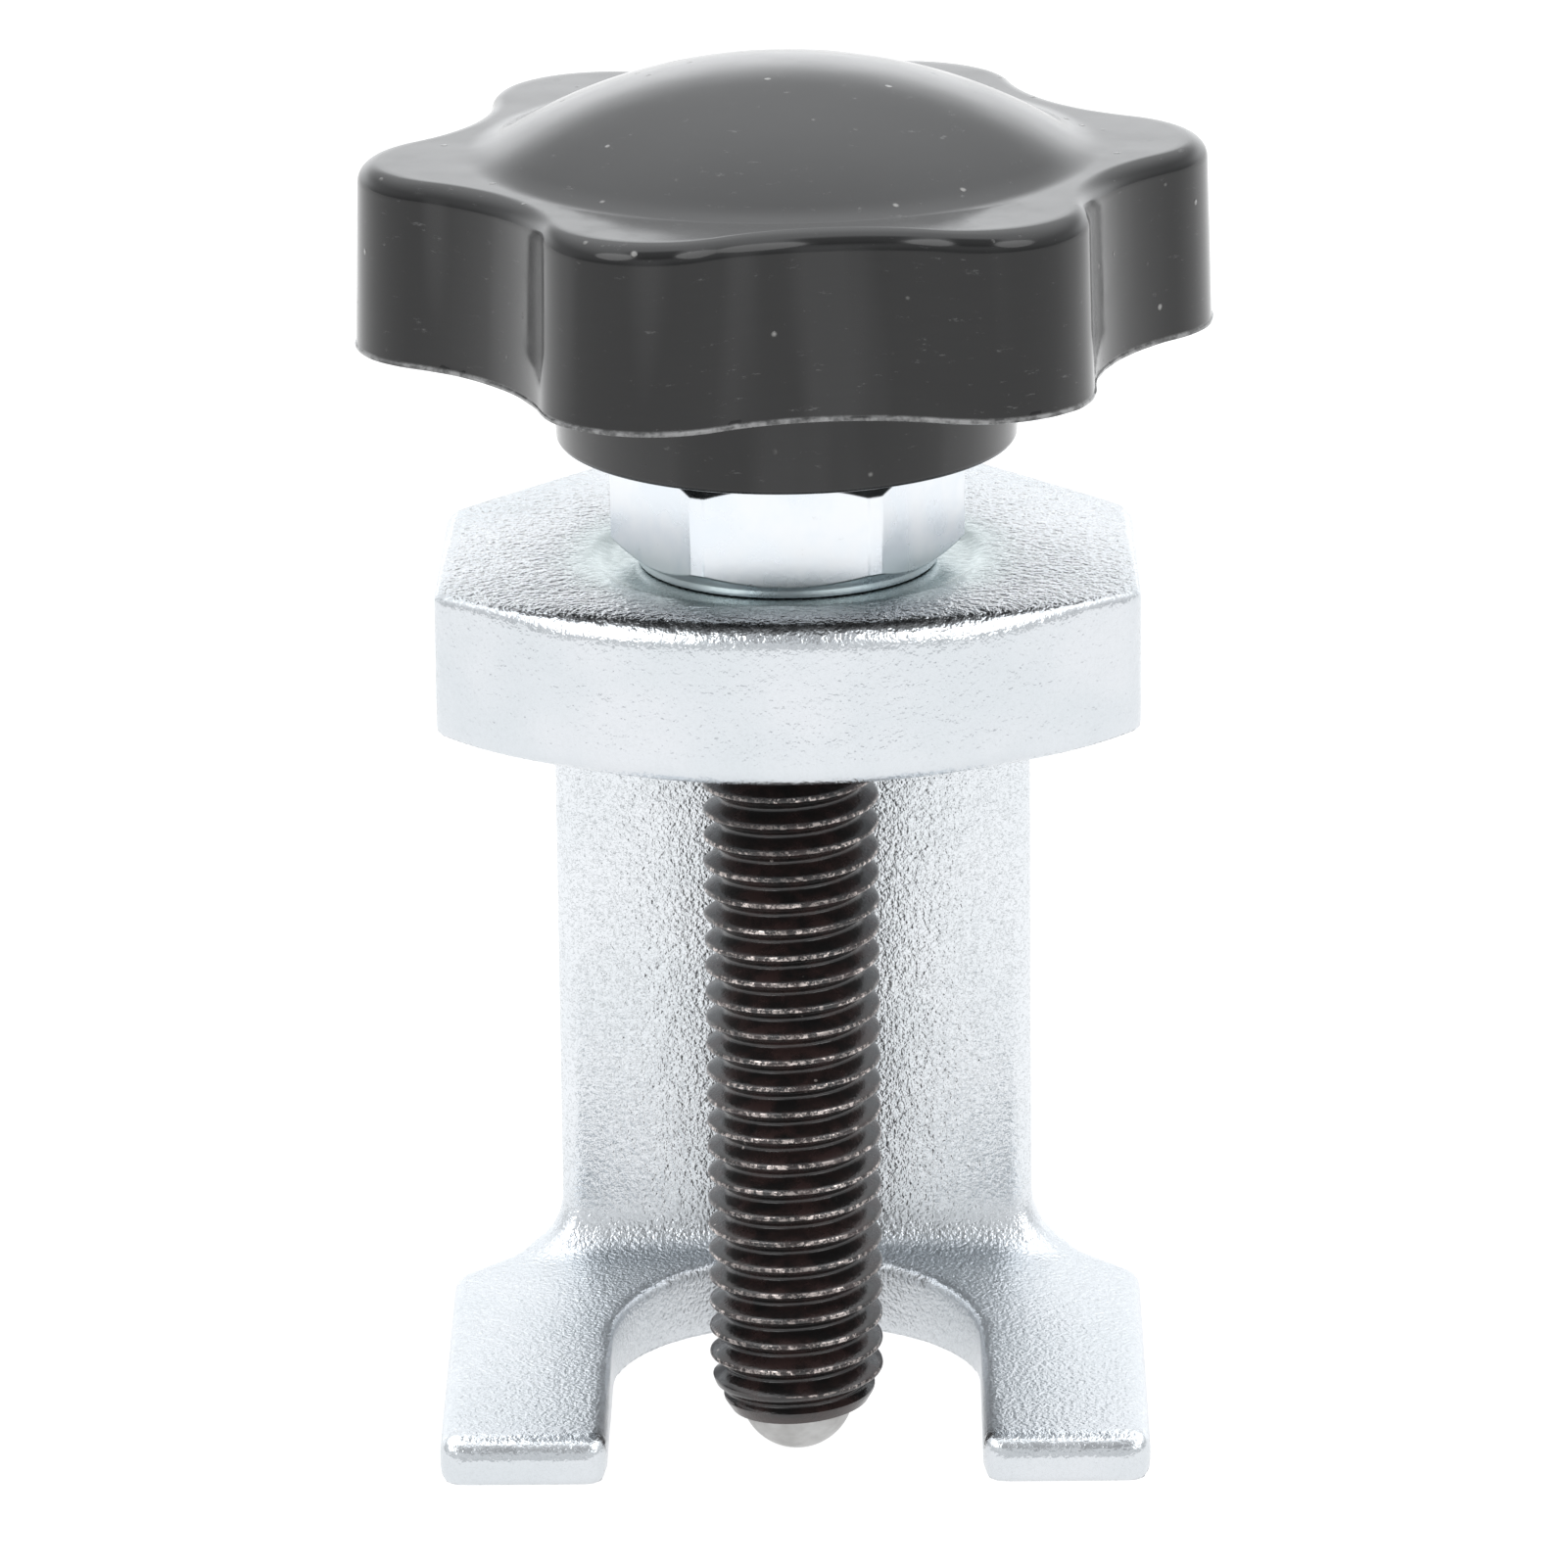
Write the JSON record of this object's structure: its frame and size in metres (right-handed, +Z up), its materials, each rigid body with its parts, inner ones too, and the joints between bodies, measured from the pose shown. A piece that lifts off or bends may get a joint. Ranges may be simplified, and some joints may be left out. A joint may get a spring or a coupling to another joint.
{
  "type": "ball joint separator",
  "caption": "Screw-press separator: a forged C frame with a U-notched fork, and a star-knob pressure screw with a jam nut and a captive ball tip.",
  "frame": {"origin": "the pressure screw's axis, at the level of the ball tip's lowest point with the screw driven fully home", "axes": "+Z up along the pressure screw's axis to the knob; +Y from the fork's open end to the web; +X across the fork"},
  "size_m": [0.046, 0.0434, 0.0787],
  "materials": {
    "zinc_forging": "bright blue-white zinc plating over a grainy forged steel surface",
    "black_oxide_steel": "black oxide, oiled, worn on the thread crests",
    "ground_steel": "satin ground bearing steel",
    "zinc_nut": "smooth bright zinc plating",
    "black_moulding": "glossy black moulded thermoset",
    "insert_brass": "as turned"
  },
  "bodies": {
    "frame_body": {"frame": "zinc_forging"},
    "tip_body": {"tip_ball": "ground_steel"},
    "screw_body": {"pressure_screw": "black_oxide_steel", "hex_nut": "zinc_nut", "star_knob": "black_moulding", "knob_insert": "insert_brass"}
  },
  "joints": [
    {"name": "screw_feed", "type": "slide", "parent": "frame_body", "child": "tip_body", "axis": [0, 0, 1], "range_m": [0, 0.039]},
    {"name": "screw_turn", "type": "hinge", "parent": "tip_body", "child": "screw_body", "pos_m": [0, 0, 0.047], "axis": [0, 0, 1], "range_deg": [0, 9360]}
  ],
  "couplings": [
    {"joint": "screw_feed", "follows": "screw_turn", "m_per_rad": 0.00023873}
  ]
}
